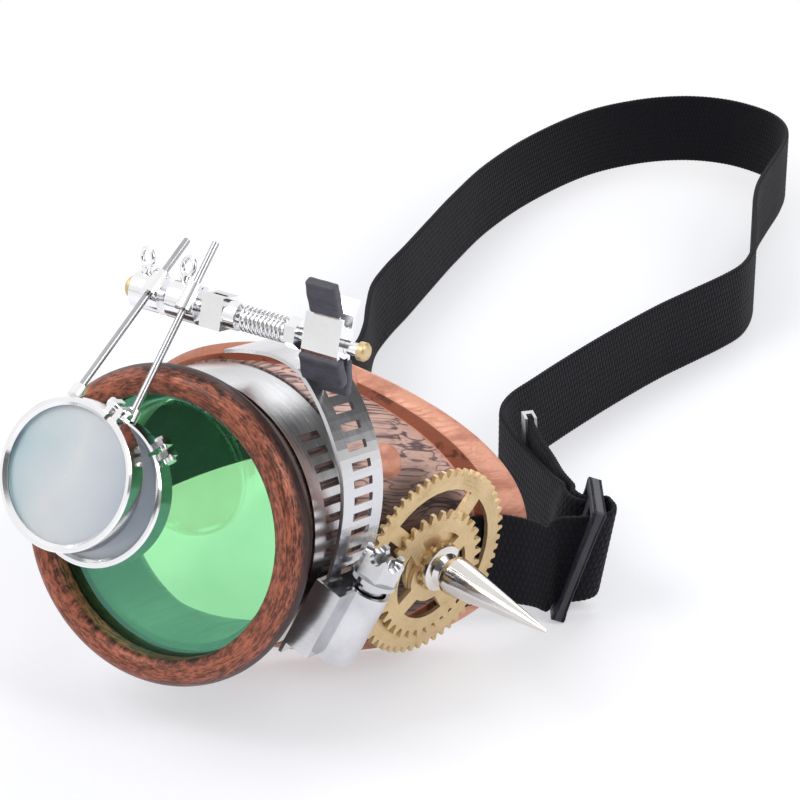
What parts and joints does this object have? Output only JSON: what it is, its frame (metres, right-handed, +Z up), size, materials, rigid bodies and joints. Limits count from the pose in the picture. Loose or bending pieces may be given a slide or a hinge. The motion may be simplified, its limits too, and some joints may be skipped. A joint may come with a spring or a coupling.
{
  "type": "goggle",
  "caption": "Steampunk monocle goggle: green lens in a screw-on ring, worm-drive band, clip-on flip-up loupes, stacked gears with a spike, and an elastic head strap.",
  "frame": {"origin": "centre of the lens ring's front opening, at the foremost point of its lip, as the goggle lies on a table", "axes": "+Z up from the table, -Y towards the side the lens faces, +Y back along the laid-out strap, +X towards the wearer's temple; the lens axis looks up by 13.5 degrees"},
  "size_m": [0.1283, 0.3478, 0.089],
  "materials": {
    "cup": "antique copper over black, brushed round the flank",
    "ring": "antique copper over black, brushed round the lens",
    "green_glass": "clear green tint",
    "gasket": "matt",
    "band_steel": "bright stainless with fine lengthwise grain",
    "chrome": "polished nickel plate",
    "brass": "worn satin brass",
    "nickel": "turned nickel",
    "sleeve": "soft dipped rubber",
    "clear_glass": "clear",
    "elastic": "ribbed woven elastic",
    "buckle": "satin moulded"
  },
  "bodies": {
    "frame": {"eyecup": "cup", "green_lens": "green_glass", "lens_gasket": "gasket", "clamp_band": "band_steel", "clamp_tail": "band_steel", "clamp_housing": "band_steel", "clip_body": "chrome", "jaw_sleeve": "sleeve", "clip_spring": "chrome", "gear_spacer": "brass", "spike_screw": "nickel", "strap_main": "elastic", "strap_temple": "elastic", "strap_crimp": "nickel"},
    "lens_ring": {"lens_ring": "ring"},
    "clamp_screw": {"clamp_screw": "band_steel"},
    "gear_large": {"gear_large": "brass"},
    "gear_medium": {"gear_medium": "brass"},
    "gear_small": {"gear_small": "brass"},
    "spike": {"spike": "nickel"},
    "clip_lever": {"clip_lever": "chrome", "upper_sleeve": "sleeve", "lever_sleeve": "sleeve"},
    "arm": {"rod": "chrome", "rod_cap_left": "brass", "rod_cap_right": "brass", "bracket": "chrome", "tension_spring": "chrome"},
    "hex_nut": {"hex_nut": "chrome"},
    "collar_front": {"collar_front": "chrome"},
    "collar_rear": {"collar_rear": "chrome"},
    "thumb_screw_front": {"thumb_screw_front": "chrome"},
    "thumb_screw_rear": {"thumb_screw_rear": "chrome"},
    "wire_front": {"wire_front": "chrome"},
    "wire_rear": {"wire_rear": "chrome"},
    "loupe_front": {"loupe_ring_front": "chrome", "loupe_lens_front": "clear_glass"},
    "loupe_rear": {"loupe_ring_rear": "chrome", "loupe_lens_rear": "clear_glass"},
    "loupe_screw_front": {"loupe_screw_front": "chrome"},
    "loupe_screw_rear": {"loupe_screw_rear": "chrome"},
    "slider": {"slider": "buckle"}
  },
  "joints": [
    {"name": "lens_ring_turn", "type": "hinge", "parent": "frame", "child": "lens_ring", "pos_m": [0, 0, 0], "axis": [0, -0.9724, 0.2334], "continuous": true},
    {"name": "clamp_screw_turn", "type": "hinge", "parent": "frame", "child": "clamp_screw", "pos_m": [0.03197, 0.01392, -0.01696], "axis": [0.3827, 0.2157, 0.8984], "continuous": true},
    {"name": "gear_large_turn", "type": "hinge", "parent": "frame", "child": "gear_large", "pos_m": [0.033, 0.04144, -0.01674], "axis": [0.9573, -0.2702, -0.1031], "continuous": true},
    {"name": "gear_medium_turn", "type": "hinge", "parent": "frame", "child": "gear_medium", "pos_m": [0.033, 0.04144, -0.01674], "axis": [0.9573, -0.2702, -0.1031], "continuous": true},
    {"name": "gear_small_turn", "type": "hinge", "parent": "frame", "child": "gear_small", "pos_m": [0.033, 0.04144, -0.01674], "axis": [0.9573, -0.2702, -0.1031], "continuous": true},
    {"name": "spike_turn", "type": "hinge", "parent": "frame", "child": "spike", "pos_m": [0.033, 0.04144, -0.01674], "axis": [0.9573, -0.2702, -0.1031], "continuous": true},
    {"name": "clip_open", "type": "hinge", "parent": "frame", "child": "clip_lever", "pos_m": [0.026, 0.01743, 0.03578], "axis": [-0.9991, 0.0098, 0.0407], "range_deg": [0, 18], "stiffness_Nm_per_rad": 0.05, "springref_deg": -22.92},
    {"name": "arm_flip", "type": "hinge", "parent": "frame", "child": "arm", "pos_m": [0.00901, 0.0176, 0.03648], "axis": [-0.9991, 0.0098, 0.0407], "range_deg": [0, 85]},
    {"name": "hex_nut_turn", "type": "hinge", "parent": "arm", "child": "hex_nut", "pos_m": [0.0195, 0.0175, 0.03605], "axis": [0.9991, -0.0098, -0.0407], "continuous": true},
    {"name": "collar_front_turn", "type": "hinge", "parent": "arm", "child": "collar_front", "pos_m": [-0.01097, 0.0178, 0.03729], "axis": [-0.9991, 0.0098, 0.0407], "range_deg": [0, 75]},
    {"name": "thumb_screw_front_turn", "type": "hinge", "parent": "collar_front", "child": "thumb_screw_front", "pos_m": [-0.0126, 0.01841, 0.04132], "axis": [0.0417, 0.1476, 0.9882], "continuous": true},
    {"name": "wire_front_slide", "type": "slide", "parent": "collar_front", "child": "wire_front", "axis": [-0.0269, -0.8948, -0.4456], "range_m": [0, 0.008]},
    {"name": "loupe_front_twist", "type": "hinge", "parent": "wire_front", "child": "loupe_front", "pos_m": [-0.01043, -0.00785, 0.02727], "axis": [-0.0269, -0.8948, -0.4456], "range_deg": [-6, 6]},
    {"name": "loupe_screw_front_turn", "type": "hinge", "parent": "loupe_front", "child": "loupe_screw_front", "pos_m": [-0.0015, -0.00742, 0.02652], "axis": [0.88, -0.1905, -0.4351], "continuous": true},
    {"name": "collar_rear_turn", "type": "hinge", "parent": "arm", "child": "collar_rear", "pos_m": [-0.00318, 0.01772, 0.03697], "axis": [-0.9991, 0.0098, 0.0407], "range_deg": [-4, 0]},
    {"name": "thumb_screw_rear_turn", "type": "hinge", "parent": "collar_rear", "child": "thumb_screw_rear", "pos_m": [-0.00481, 0.01937, 0.0407], "axis": [0.0412, 0.4065, 0.9127], "continuous": true},
    {"name": "wire_rear_slide", "type": "slide", "parent": "collar_rear", "child": "wire_rear", "axis": [-0.0345, -0.743, -0.6684], "range_m": [-0.002, 0.0015]},
    {"name": "loupe_rear_twist", "type": "hinge", "parent": "wire_rear", "child": "loupe_rear", "pos_m": [-0.00278, -0.00254, 0.02207], "axis": [-0.0345, -0.743, -0.6684], "range_deg": [-3, 3]},
    {"name": "loupe_screw_rear_turn", "type": "hinge", "parent": "loupe_rear", "child": "loupe_screw_rear", "pos_m": [0.00515, -0.00352, 0.01879], "axis": [0.6579, -0.3074, -0.6875], "continuous": true},
    {"name": "slider_shift", "type": "slide", "parent": "frame", "child": "slider", "axis": [0.866, 0.5, 0], "range_m": [-0.0003, 0.0015]}
  ]
}
